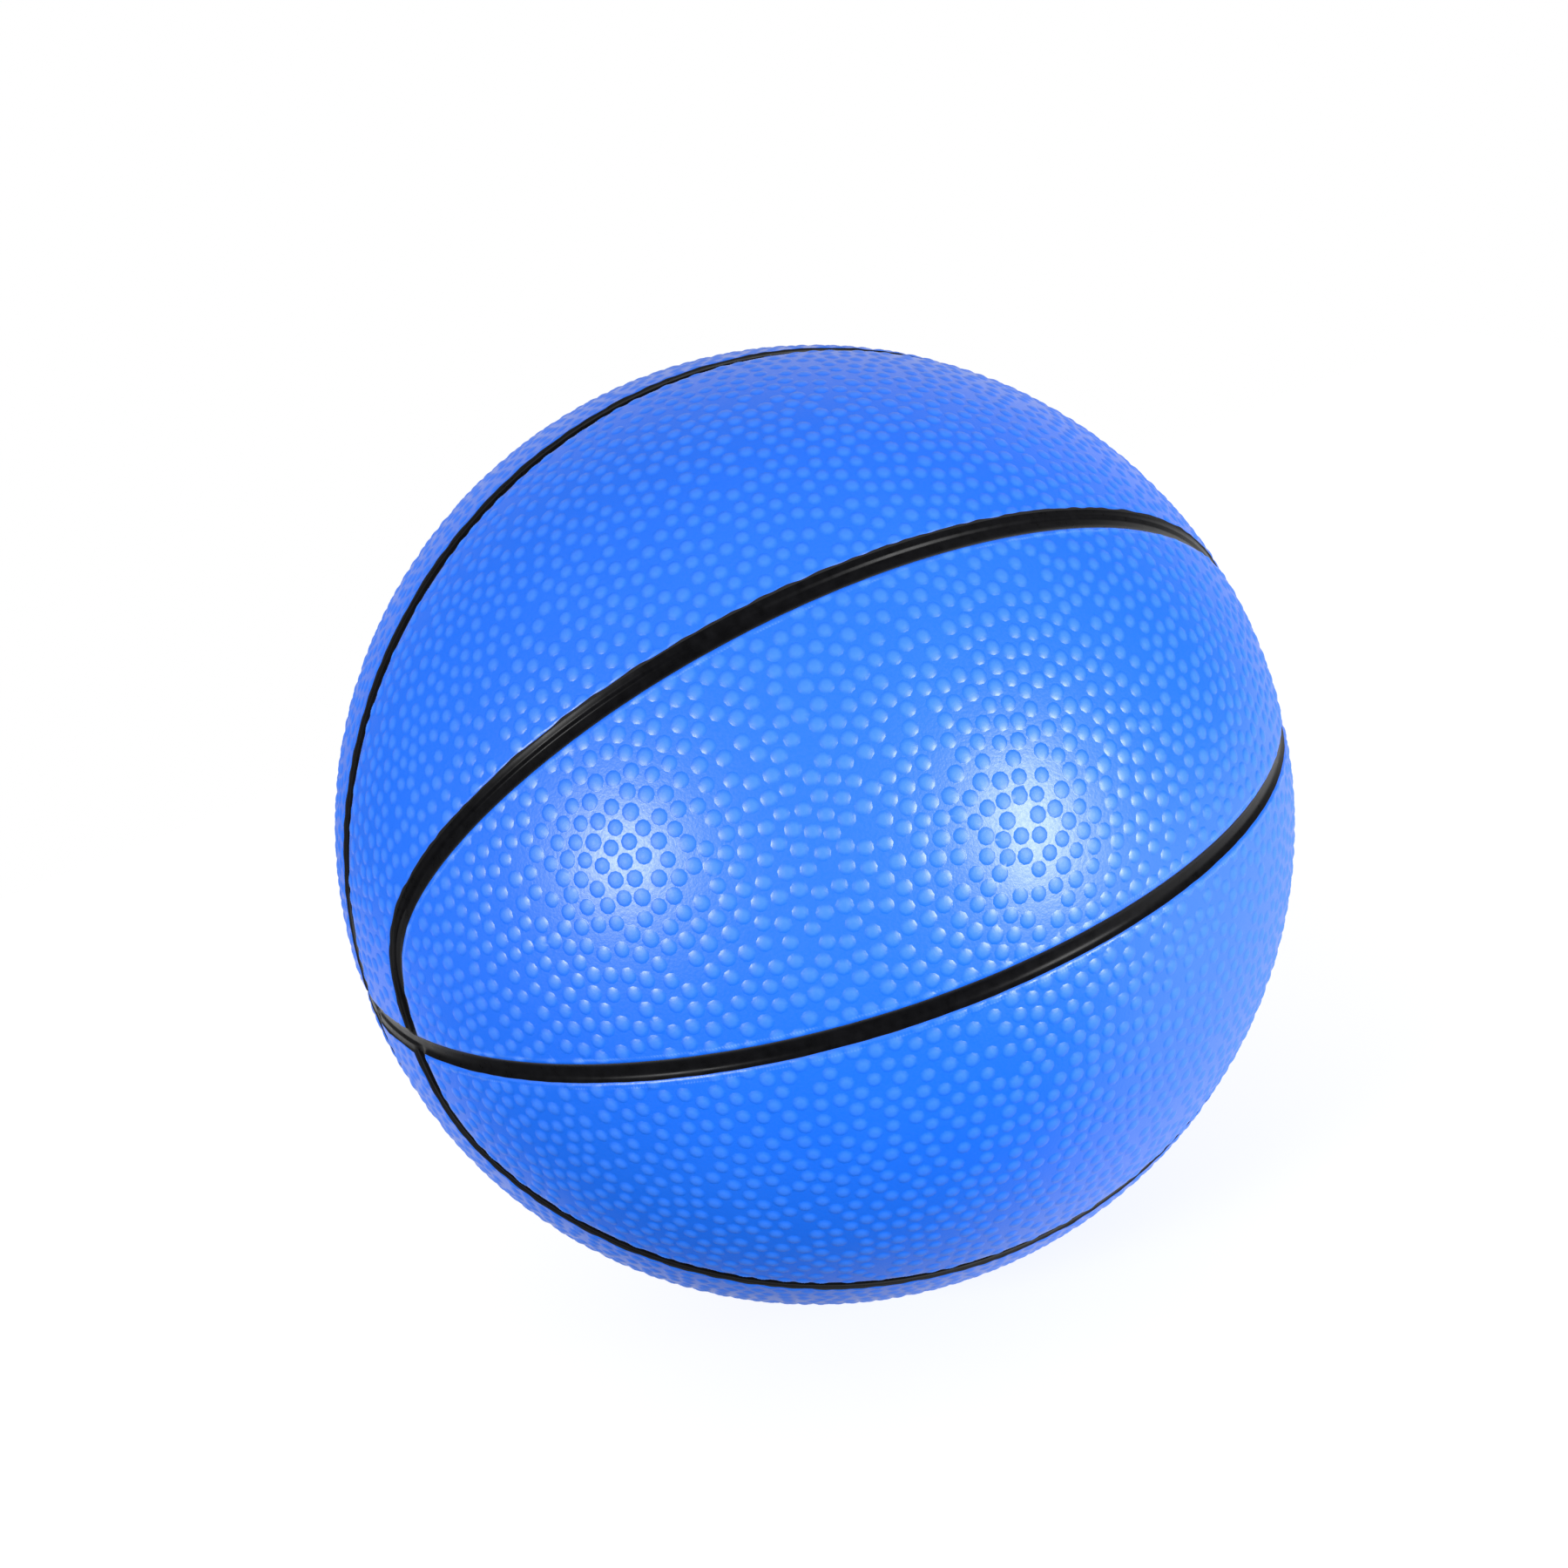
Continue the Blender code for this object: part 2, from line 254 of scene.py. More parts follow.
def unit(points):
    """The same directions with a length of 1."""
    return points / np.linalg.norm(points, axis=1, keepdims=True)


def level_seam(turns):
    return np.stack((np.cos(turns), np.sin(turns), 0 * turns), axis=1)


def upright_seam(turns):
    return np.stack((np.cos(turns), 0 * turns, np.sin(turns)), axis=1)


def loop_seam(turns):
    along = np.abs(np.cos(turns) / math.tan(LOOP_LONG_ANGLE)) ** LOOP_SQUARENESS
    upward = np.abs(np.sin(turns) / math.tan(LOOP_SHORT_ANGLE)) ** LOOP_SQUARENESS
    forward = (along + upward) ** (1 / LOOP_SQUARENESS)
    return unit(np.stack((np.cos(turns), -forward, np.sin(turns)), axis=1))


def line_length(line):
    """How long a line of unit vectors is on the ball."""
    return BALL_RADIUS * np.linalg.norm(np.diff(line, axis=0), axis=1).sum()


def search_tree(points):
    tree = kdtree.KDTree(len(points))
    for index, point in enumerate(points):
        tree.insert(point, index)
    tree.balance()
    return tree


FRONT_LOOP = loop_seam(WHOLE_TURN)
SEAM_TREE = search_tree(
    np.concatenate((level_seam(WHOLE_TURN), upright_seam(WHOLE_TURN), FRONT_LOOP, FRONT_LOOP * (1, -1, 1)))
)


def seam_distance(directions):
    """How far each direction lies from the nearest seam, over the ball's surface."""
    return BALL_RADIUS * np.array([SEAM_TREE.find(point)[2] for point in directions])


def beside(middle, distance):
    """A line at a distance from a seam's middle line. A positive one is towards the upright seam."""
    ahead = np.gradient(middle, axis=0)
    across = unit(np.cross(ahead, middle))
    angle = distance / BALL_RADIUS
    return math.cos(angle) * middle + math.sin(angle) * across


def evenly(sides, step):
    """A closed line as points about a step apart, with a point where each of its sides begins."""
    points = []
    for side, next_side in zip(sides, sides[1:] + sides[:1]):
        line = np.concatenate((side, next_side[:1]))
        run = np.append(0, np.cumsum(np.linalg.norm(np.diff(line, axis=0), axis=1)))
        stops = np.linspace(0, run[-1], round(run[-1] * BALL_RADIUS / step), endpoint=False)
        points.append(np.stack([np.interp(stops, run, line[:, axis]) for axis in range(3)], axis=1))
    return unit(np.concatenate(points))


print(f"loop seam {line_length(FRONT_LOOP) / MM:.0f} mm long")

# %% [markdown]
# ## The outline of a panel
# The seams cut the ball into eight panels of two shapes: a face panel inside each half loop and a crown
# panel outside it. A half turn about X, Y or Z takes a panel to any other of its shape, so one of each is
# modelled, at the front and above, and the others are turned copies, as panels are stamped from one die. An
# outline is a closed line at a given distance inside the seams that bound the panel, kept as its two or four
# sides.

# %% Outlines


def level_edge(inset, from_turn, to_turn):
    """Points just above the level seam, between two turns from the front."""
    turns = np.linspace(from_turn, to_turn, SEAM_SAMPLES)
    angle = inset / BALL_RADIUS
    points = np.stack((np.sin(turns), -np.cos(turns), 0 * turns), axis=1) * math.cos(angle)
    return points + (0, 0, math.sin(angle))


def above(points, inset):
    return points[points[:, 2] > math.sin(inset / BALL_RADIUS)]


def turn_of(point):
    return math.atan2(point[0], -point[1])


def face_outline(inset):
    """Along the level seam to the right, then back over the top inside the loop."""
    top = above(beside(loop_seam(HALF_TURN), -inset), inset)
    return level_edge(inset, turn_of(top[-1]), turn_of(top[0])), top


def crown_outline(inset):
    """Outside the loop to the right, then back over the top beside the upright seam."""
    front = above(beside(loop_seam(HALF_TURN), inset), inset)[::-1]
    back = above(beside(upright_seam(HALF_TURN), -inset), inset)
    right_end = level_edge(inset, turn_of(front[-1]), turn_of(back[0]))
    left_end = level_edge(inset, turn_of(back[-1]), turn_of(front[0]))
    return front, right_end, back, left_end


for outline in (face_outline, crown_outline):
    lengths = [f"{line_length(side) / MM:.0f} mm" for side in outline(MM)]
    print(outline.__name__, "a millimetre inside the seams has sides of", ", ".join(lengths))

# %% [markdown]
# ## The pebbles
# The cover's grain is some nine thousand round pebbles, scattered evenly but in no pattern: some touch, and
# some leave a bare patch. Points on a golden spiral are evenly spread over a ball. Shaken and then pushed
# apart only where they crowd, they lose the spiral's rows and keep its even density. A quarter of the ball
# is enough, with some margin, because the other quarters are turned copies.

# %% Pebble places
PEBBLES_ON_BALL = 8900
PEBBLE_PITCH = BALL_RADIUS * math.sqrt(8 * math.pi / math.sqrt(3) / PEBBLES_ON_BALL)
PEBBLE_SHAKE = 0.33  # of the pitch
PUSH_ROUNDS = 14
PUSH_SHARE = 0.3  # of the overlap, in a round
CROWDED = 0.92  # pebbles nearer than this share of the pitch push each other
QUARTER_MARGIN = 0.1  # of the radius
TOUCHING = 1e-12  # keeps a pebble's distance to itself above zero
GOLDEN_ANGLE = math.pi * (3 - math.sqrt(5))
rng = np.random.default_rng(20)


def spread_pebbles():
    steps = np.arange(PEBBLES_ON_BALL) + 0.5
    height = 1 - 2 * steps / PEBBLES_ON_BALL
    level = np.sqrt(1 - height**2)
    turns = GOLDEN_ANGLE * steps
    places = np.stack((level * np.cos(turns), level * np.sin(turns), height), axis=1)
    places = places[(places[:, 2] > -QUARTER_MARGIN) & (places[:, 1] < QUARTER_MARGIN)]
    pitch = PEBBLE_PITCH / BALL_RADIUS
    places = unit(places + rng.normal(scale=PEBBLE_SHAKE * pitch, size=places.shape))
    for _ in range(PUSH_ROUNDS):
        apart = np.sqrt(np.maximum(2 - 2 * places @ places.T, TOUCHING))
        push = np.maximum(CROWDED * pitch - apart, 0) / apart
        np.fill_diagonal(push, 0)
        places = unit(places + PUSH_SHARE * (push.sum(axis=1)[:, None] * places - push @ places))
    return places


PEBBLES = spread_pebbles()
PEBBLE_TREE = search_tree(PEBBLES)
gaps = [PEBBLE_TREE.find_n(place, 2)[1][2] * BALL_RADIUS / MM for place in PEBBLES]
print(f"{len(PEBBLES)} pebbles, pitch {PEBBLE_PITCH / MM:.2f} mm, nearest neighbours", end=" ")
print(", ".join(f"{np.percentile(gaps, share):.2f}" for share in (5, 50, 95)), "mm apart")

# %% [markdown]
# ## The rules of the skin
# Two rules give every point of a panel its height. The pebble under a point lifts it: pebbles are low domes
# on a smooth ground. The edge of the panel drops it: the cover rolls down towards the channel, steeper and
# steeper, and the pebbles fade out just before they get there. The channel is wider on the side of a crown
# panel. The panel with the valve has a round hole, and its rim counts as an edge too. The slopes of the same
# two rules give the direction that the skin faces, which is truer than an average over the flat triangles
# beside a corner, so highlights run smoothly over the grain.

# %% Skin rules
PEBBLE_RADIUS = 1.22 * MM
PEBBLE_SPREAD = 0.06  # how much radii vary, as a share
PEBBLE_HEIGHT = 0.215 * MM
PEBBLE_POWER = 1.75  # 1 is a cone and 2 is a round cap
PEBBLE_FOOT = (0.98, 1.02)  # shares of the radius between which the slope ends
VALLEY = 0.1 * MM  # to each side of the line where two pebbles meet
GROUND_RADIUS = BALL_RADIUS - PEBBLE_HEIGHT
FACE_EDGE = 1.48 * MM  # from a seam's middle
CROWN_EDGE = 1.86 * MM
LIP_WIDTH = 0.5 * MM
LIP_DROP = 0.25 * MM
GRAIN_START = 0.1 * MM  # from the panel's edge, where pebbles begin to rise
GRAIN_FULL = 0.55 * MM
HOLE_RADIUS = 5.3 * MM
FACE_MIDDLE = direction(0, math.radians(22.5))  # where the valve is, on the panel that has one
CROWN_MIDDLE = direction(0, math.radians(66))
LEAST_LENGTH = 1e-9
PEBBLE_SIZES = PEBBLE_RADIUS * (1 + PEBBLE_SPREAD * rng.uniform(-1, 1, len(PEBBLES)))


def on_face(points):
    """True inside the front loop and above the level seam."""
    x, y, z = points.T
    along = np.abs(x / math.tan(LOOP_LONG_ANGLE)) ** LOOP_SQUARENESS
    upward = np.abs(z / math.tan(LOOP_SHORT_ANGLE)) ** LOOP_SQUARENESS
    return (y < 0) & (z > 0) & (along + upward < np.abs(y) ** LOOP_SQUARENESS)


def on_crown(points):
    return (points[:, 1] < 0) & (points[:, 2] > 0) & ~on_face(points)


def channel_half(directions):
    """How far from the seam the channel reaches on the side of each direction."""
    return np.where(on_face(np.abs(directions) * (1, -1, 1)), FACE_EDGE, CROWN_EDGE)


def nearest_edge(directions, hole):
    """The nearest place of a seam or of the valve, and how far inside its panel's edge a direction lies."""
    found = [SEAM_TREE.find(point) for point in directions]
    places = np.array([place for place, _, _ in found])
    distance = BALL_RADIUS * np.array([far for _, _, far in found]) - channel_half(directions)
    if hole:
        middle = np.array(FACE_MIDDLE)
        from_hole = BALL_RADIUS * np.linalg.norm(directions - middle, axis=1) - HOLE_RADIUS
        places[from_hole < distance] = middle
        distance = np.minimum(distance, from_hole)
    return places, distance


def away_from(directions, places):
    apart = directions - places
    return apart / np.maximum(np.linalg.norm(apart, axis=1, keepdims=True), LEAST_LENGTH)


def skin_shape(directions, hole):
    """The radius, the facing, the height up a pebble and the distance from the edge of points on a skin."""
    found = [PEBBLE_TREE.find_n(point, 2) for point in directions]
    tops = np.array([first[0] for first, _ in found])
    size = PEBBLE_SIZES[[first[1] for first, _ in found]]
    share = BALL_RADIUS * np.array([first[2] for first, _ in found]) / size
    nearer = BALL_RADIUS * np.array([second[2] - first[2] for first, second in found])
    edges, from_edge = nearest_edge(directions, hole)
    fade = np.clip((from_edge - GRAIN_START) / (GRAIN_FULL - GRAIN_START), 0, 1)
    rise = np.maximum(1 - share**PEBBLE_POWER, 0) * fade
    short = np.clip(1 - from_edge / LIP_WIDTH, 0, 1)
    radius = GROUND_RADIUS + PEBBLE_HEIGHT * rise - LIP_DROP * short**2
    steep, flat = PEBBLE_FOOT
    on_pebble = np.clip((flat - share) / (flat - steep), 0, 1) * np.clip(nearer / VALLEY, 0, 1)
    fall = on_pebble * fade * PEBBLE_HEIGHT * PEBBLE_POWER * share ** (PEBBLE_POWER - 1) / size
    climb = 2 * LIP_DROP * short / LIP_WIDTH
    downhill = fall[:, None] * away_from(directions, tops) - climb[:, None] * away_from(directions, edges)
    return radius, unit(directions + downhill), rise, from_edge


print(f"pebbles {2 * PEBBLE_RADIUS / MM:.1f} mm across and {PEBBLE_HEIGHT / MM:.2f} mm high")

# %% [markdown]
# ## The dots of a panel
# Pebbles this small could be a bump in the material, but then the outline of the ball would be smooth and
# the meshes bare. Pushing them up out of an even grid takes millions of faces. So the skin is drawn the way
# a surveyor draws hills: a top and a few rings of dots on every pebble, and rows of dots along the panel's
# rolled edge. A dot that lands on a neighbouring pebble is dropped, or drawn back to the line between the
# two. The last ring, at the foot of the pebble, is also a closed line that no triangle may cross, so each
# pebble ends where the ground begins.

# %% Dots
PEBBLE_RINGS = (0.30, 0.96, 1.03)  # shares of the pebble's radius
RING_CORNERS = 10
RING_SKEW = (0.3, 0.9, 0.2)  # a ring's first corner is square to this, and no pebble lies along it
SAME_PLACE = 1e-6
LIP_ROWS = np.array((0, 0.03, 0.1, 0.22, 0.36, 0.52, 0.7, 0.8, 0.92, 1.06)) * MM
ROW_STEP = 0.45 * MM
ROW_TWIST = 0.03  # radians between a row round the hole and the next
ROW_CLEAR = 0.1 * MM


def ring_dots(middles, angles, first_turns, corners):
    """Corners of a ring round each middle, a unit vector. Angles are seen from the ball's centre."""
    sideways = unit(np.cross(middles, RING_SKEW))
    upward = np.cross(middles, sideways)
    turns = first_turns + 2 * math.pi * np.arange(corners)[:, None] / corners
    outward = np.cos(turns)[..., None] * sideways + np.sin(turns)[..., None] * upward
    angles = np.asarray(angles)[..., None]
    return np.cos(angles) * middles + np.sin(angles) * outward


def draw_back(dots, owners, foot):
    """Moves dots of a foot from the next pebble to the line between the two. True for dots to keep."""
    near = np.array([PEBBLE_TREE.find(dot)[1] for dot in dots])
    shared = np.intersect1d(foot, np.flatnonzero(owners < near))
    middle = PEBBLES[owners[shared]]
    apart = middle - PEBBLES[near[shared]]
    start = (apart * middle).sum(axis=1, keepdims=True)
    stop = (apart * dots[shared]).sum(axis=1, keepdims=True)
    dots[shared] = unit(middle + start / (start - stop) * (dots[shared] - middle))
    kept = near == owners
    spare = np.array([PEBBLE_TREE.find(dot)[2] for dot in dots[shared]])
    kept[shared] = np.linalg.norm(dots[shared] - middle, axis=1) < spare + SAME_PLACE
    return kept


def pebble_dots(inside, hole):
    """The dots of all pebbles on a panel, and pairs of them that are neighbours on the foot of a pebble."""
    chosen = np.flatnonzero(inside(PEBBLES))
    middles = PEBBLES[chosen]
    first_turns = rng.uniform(0, 2 * math.pi, len(chosen))
    dots = [middles]
    owners = [chosen]
    for number, ring in enumerate(PEBBLE_RINGS):
        angles = ring * PEBBLE_SIZES[chosen] / BALL_RADIUS
        half_step = math.pi / RING_CORNERS if number == 0 else 0
        dots.extend(ring_dots(middles, angles, first_turns + half_step, RING_CORNERS))
        owners.extend([chosen] * RING_CORNERS)
    dots, owners = np.concatenate(dots), np.concatenate(owners)
    foot = np.arange(len(dots))[-RING_CORNERS * len(chosen) :].reshape(RING_CORNERS, -1)
    kept = draw_back(dots, owners, foot) & inside(dots)
    kept[kept] = nearest_edge(dots[kept], hole)[1] > LIP_ROWS[-1] + ROW_CLEAR
    pairs = np.stack((foot, np.roll(foot, 1, axis=0)), axis=-1).reshape(-1, 2)
    pairs = pairs[kept[pairs].all(axis=1)]
    return dots[kept], (np.cumsum(kept) - 1)[pairs]


def valve_rows():
    """Rings of dots round the hole for the valve, the edge of the hole first."""
    middle = np.array([FACE_MIDDLE])
    rows = []
    for number, row in enumerate(LIP_ROWS):
        radius = HOLE_RADIUS + row
        corners = round(2 * math.pi * radius / ROW_STEP)
        first_turn = np.array([ROW_TWIST * number])
        rows.append(ring_dots(middle, [radius / BALL_RADIUS], first_turn, corners)[:, 0])
    return rows


print(f"{1 + RING_CORNERS * len(PEBBLE_RINGS)} dots on a pebble, {len(LIP_ROWS)} rows along an edge")

# %% [markdown]
# ## Join the dots
# A Delaunay triangulation joins the dots into the roundest triangles there are. It works on a flat map, and
# a stereographic map keeps circles round, so pebbles stay pebbles all over the panel. The first row of dots
# is the panel's outline and bounds the sheet. Each corner also keeps three numbers for its material: how
# high up a pebble it is, how far past the channel's black paint, which creeps over the edge of the crown
# panels, and how much of a painted highlight it gets, a pale line along the rounded edge of the face panels.

# %% Skins
FACE_PAINT = (0.04 * MM, 4)  # how far the channel's black creeps over the edge, and how crisply it ends
CROWN_PAINT = (0.27 * MM, 1)
# A pale line is painted along the face panels' rounded edge as a highlight, where the lip catches the light.
LIP_HIGHLIGHT_PLACE = 0.8 * MM  # from the edge
LIP_HIGHLIGHT_WIDTH = 0.13 * MM  # to each side
HOLE_SLACK = 0.1 * MM  # how far over the hole's edge the middle of a triangle may lie
INSIDE_OUTLINE = 1  # asks for the triangles inside the outline and no others
SAME_SPOT = 1e-7  # dots of the flat map nearer than this are one


def join_dots(rows, dots, pairs, middle):
    """Directions and triangles of a sheet whose edge is the first of its rows. Pairs of dots stay joined."""
    across = Vector((1, 0, 0))
    axes = np.array((across, Vector(middle).cross(across), middle))
    x, y, facing = axes @ np.concatenate((*rows, dots)).T
    flat = [Vector(spot) for spot in zip(2 * x / (1 + facing), 2 * y / (1 + facing))]
    lines = (pairs + sum(len(row) for row in rows)).tolist()
    edge = list(range(len(rows[0])))
    spots, _, triangles, *_ = delaunay_2d_cdt(flat, lines, [edge], INSIDE_OUTLINE, SAME_SPOT, False)
    spots = np.array(spots)
    far = (spots**2).sum(axis=1) / 4
    local = np.stack((spots[:, 0], spots[:, 1], 1 - far), axis=1) / (1 + far)[:, None]
    return local @ axes, np.array(triangles)


def add_mesh(name, points, faces):
    """A new object, the only one selected, from points in metres."""
    mesh = bpy.data.meshes.new(name)
    mesh.from_pydata(points.tolist(), [], faces.tolist())
    piece = bpy.data.objects.new(name, mesh)
    bpy.context.scene.collection.objects.link(piece)
    bpy.ops.object.select_all(action="DESELECT")
    piece.select_set(True)
    bpy.context.view_layer.objects.active = piece
    return piece


def add_numbers(piece, name, kind, values):
    """A number or a vector on every corner of a mesh."""
    attribute = piece.data.attributes.new(name, kind, "POINT")
    attribute.data.foreach_set("value" if kind == "FLOAT" else "vector", values.astype(np.float32).ravel())


def add_skin(name, rows, dots, pairs, middle, hole, paint):
    """A pebbled sheet. Triangles that would close the valve's hole are left out."""
    directions, triangles = join_dots(rows, dots, pairs, middle)
    if hole:
        centres = unit(directions[triangles].mean(axis=1))
        triangles = triangles[nearest_edge(centres, True)[1] > -HOLE_SLACK]
    radius, facing, rise, from_edge = skin_shape(directions, hole)
    skin = add_mesh(name, directions * radius[:, None], triangles)
    add_numbers(skin, "pebble", "FLOAT", rise)
    creep, crispness = paint
    add_numbers(skin, "past_paint", "FLOAT", (from_edge - creep) * crispness / MM)
    # Painted highlight: a pale line along the rounded edge of the face panels.
    worn = np.maximum(1 - np.abs(from_edge - LIP_HIGHLIGHT_PLACE) / LIP_HIGHLIGHT_WIDTH, 0) * (paint == FACE_PAINT)
    add_numbers(skin, "worn", "FLOAT", worn)
    add_numbers(skin, "facing", "FLOAT_VECTOR", facing)
    return skin


for kind, (creep, _) in {"face": FACE_PAINT, "crown": CROWN_PAINT}.items():
    print(f"black creeps {creep / MM:.2f} mm over the edge of a {kind} panel")

# %% [markdown]
# ## A whole panel
# A skin becomes a solid panel with three more steps by hand: its edge is extruded straight down to the
# underside of the cover, a plain sheet with the same outline closes the back, and the two are merged where
# they meet. Normals then point outwards, and only the corner at the back stays sharp.

# %% Panels
MERGE_DISTANCE = 0.002 * MM
SHARP_ANGLE = math.radians(55)


def put_under_cover(corners):
    """Moves corners straight down to the underside of the cover."""
    for corner in corners:
        corner.co = corner.co.normalized() * COVER_INNER


def drop_wall(piece):
    """Extrudes the open edges of a skin down to the underside of the cover."""
    bpy.ops.object.mode_set(mode="EDIT")
    bpy.ops.mesh.select_all(action="SELECT")
    bpy.ops.mesh.region_to_loop()
    bpy.ops.mesh.extrude_edges_indiv()
    bpy.ops.object.mode_set(mode="OBJECT")
    put_under_cover(corner for corner in piece.data.vertices if corner.select)


def close_panel(piece):
    """Merges the doubled edges of a joined panel, turns its faces outwards and sets how the skin faces."""
    bpy.ops.object.mode_set(mode="EDIT")
    bpy.ops.mesh.select_all(action="SELECT")
    bpy.ops.mesh.remove_doubles(threshold=MERGE_DISTANCE)
    bpy.ops.mesh.normals_make_consistent(inside=False)
    bpy.ops.object.mode_set(mode="OBJECT")
    bpy.ops.object.shade_smooth_by_angle(angle=SHARP_ANGLE)
    facing = np.empty(3 * len(piece.data.vertices), dtype=np.float32)
    piece.data.attributes["facing"].data.foreach_get("vector", facing)
    facing = facing.reshape(-1, 3)
    low = [corner.co.length < COVER_INNER + MERGE_DISTANCE for corner in piece.data.vertices]
    facing[low] = 0
    piece.data.attributes.remove(piece.data.attributes["facing"])
    piece.data.normals_split_custom_set_from_vertices(facing)


def open_edges(piece):
    """How many edges of a mesh don't have a face on both sides."""
    corners = np.empty(len(piece.data.loops), dtype=int)
    piece.data.loops.foreach_get("edge_index", corners)
    return int((np.bincount(corners, minlength=len(piece.data.edges)) != 2).sum())


def make_panel(name, outline, edge, inside, middle, hole, paint):
    rows = [evenly(outline(edge + row), ROW_STEP) for row in LIP_ROWS]
    hole_rows = valve_rows() if hole else []
    tops = PEBBLES[inside(PEBBLES)]
    tops = tops[nearest_edge(tops, hole)[1] > LIP_ROWS[-1]]
    dots, pairs = pebble_dots(inside, hole)
    back = add_skin(name + "_back", rows[:1] + hole_rows[:1], tops, pairs[:0], middle, hole, paint)
    put_under_cover(back.data.vertices)
    panel = add_skin(name, rows + hole_rows, dots, pairs, middle, hole, paint)
    drop_wall(panel)
    back.select_set(True)
    bpy.ops.object.join()
    close_panel(panel)
    print(name, len(panel.data.polygons), "triangles,", open_edges(panel), "open edges")
    return panel


FACE = (face_outline, FACE_EDGE, on_face, FACE_MIDDLE)
CROWN = (crown_outline, CROWN_EDGE, on_crown, CROWN_MIDDLE)
face = make_panel("panel_front_upper_face_skin", *FACE, False, FACE_PAINT)
valve_face = make_panel("panel_back_upper_face_skin", *FACE, True, FACE_PAINT)
crown = make_panel("panel_front_upper_crown_skin", *CROWN, False, CROWN_PAINT)

# %% [markdown]
# ## The other panels
# The panel with the valve belongs at the back, so it takes a half turn about Z. The five others are copies
# of the first face and the first crown, turned into place, each with a mesh of its own.

# %% Turned copies
HALF_TURNS = {"front_lower": "Y", "back_lower": "X", "back_upper": "Z"}
PANELS = [face, valve_face, crown]
valve_face.data.transform(Matrix.Rotation(math.pi, 4, "Z"))
for quarter, axis in HALF_TURNS.items():
    for first in (face, crown):
        name = first.name.replace("front_upper", quarter)
        if name in bpy.data.objects:
            continue
        copy = first.copy()
        copy.data = first.data.copy()
        copy.name = name
        copy.data.name = name
        copy.data.transform(Matrix.Rotation(math.pi, 4, axis))
        bpy.context.scene.collection.objects.link(copy)
        PANELS.append(copy)

for panel in PANELS:
    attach(panel, "ball")
    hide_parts(panel.name.removesuffix("_skin"))
print(len(PANELS), "panels,", sum(len(panel.data.polygons) for panel in PANELS), "triangles")

# %% [markdown]
# ## The channel strips
# Between the panels lie black rubber strips with a hollow face. Beside a face panel the strip's side curves
# up like a gutter, and beside a crown panel it steps up to a narrow shelf, whose edge catches the light. A
# strip starts as a flat grid that is laid along its seam. Its height depends only on the distance to the
# nearest seam of any kind, so the strips run into each other smoothly where they cross. Extruded down to the
# carcass, the grid becomes a solid strip. The level strip is a whole ring and the six others are halves that
# end against it.

# %% Strips
STRIP_GAP = 0.02 * MM
STRIP_EDGE_RADIUS = GROUND_RADIUS - LIP_DROP
STRIP_HOLLOW = 0.55 * MM
STRIP_POWER = 3.5  # 2 is a round hollow, and more gives a flat floor between steep sides
SHELF_STEP = (0.24, 0.62)  # where the step begins and ends, as shares of the half width
SHELF_HEIGHT = 0.6  # of the hollow
STRIP_STEP = 0.8 * MM
TURN_STEP = 1e-4  # radians to each side, for the way along a seam
SIDE_STEP = 0.01  # of the ball's radius, for the panel beside a seam
LONGEST_END = 0.3  # radians, more than any seam needs to leave the level strip
STRIP_SHARES = np.array((0, 0.12, 0.22, 0.28, 0.34, 0.40, 0.46, 0.52, 0.58, 0.64, 0.76, 0.9, 1))


def strip_height(share, beside_crown):
    """How high the strip's face is above its floor, 0 to 1, at a share of its half width."""
    gutter = share**STRIP_POWER
    step = np.clip((share - SHELF_STEP[0]) / (SHELF_STEP[1] - SHELF_STEP[0]), 0, 1)
    shelf = SHELF_HEIGHT * step**2 * (3 - 2 * step) + (1 - SHELF_HEIGHT) * gutter
    return np.where(beside_crown, shelf, gutter)


def thicken_strip(strip):
    """Closes a ring, then extrudes the strip's face down to the carcass."""
    bpy.ops.object.mode_set(mode="EDIT")
    bpy.ops.mesh.select_all(action="SELECT")
    bpy.ops.mesh.remove_doubles(threshold=MERGE_DISTANCE)
    bpy.ops.mesh.extrude_region()
    bpy.ops.object.mode_set(mode="OBJECT")
    put_under_cover(corner for corner in strip.data.vertices if corner.select)
    bpy.ops.object.mode_set(mode="EDIT")
    bpy.ops.mesh.select_all(action="SELECT")
    bpy.ops.mesh.normals_make_consistent(inside=False)
    bpy.ops.object.mode_set(mode="OBJECT")
    bpy.ops.object.shade_smooth_by_angle(angle=SHARP_ANGLE)


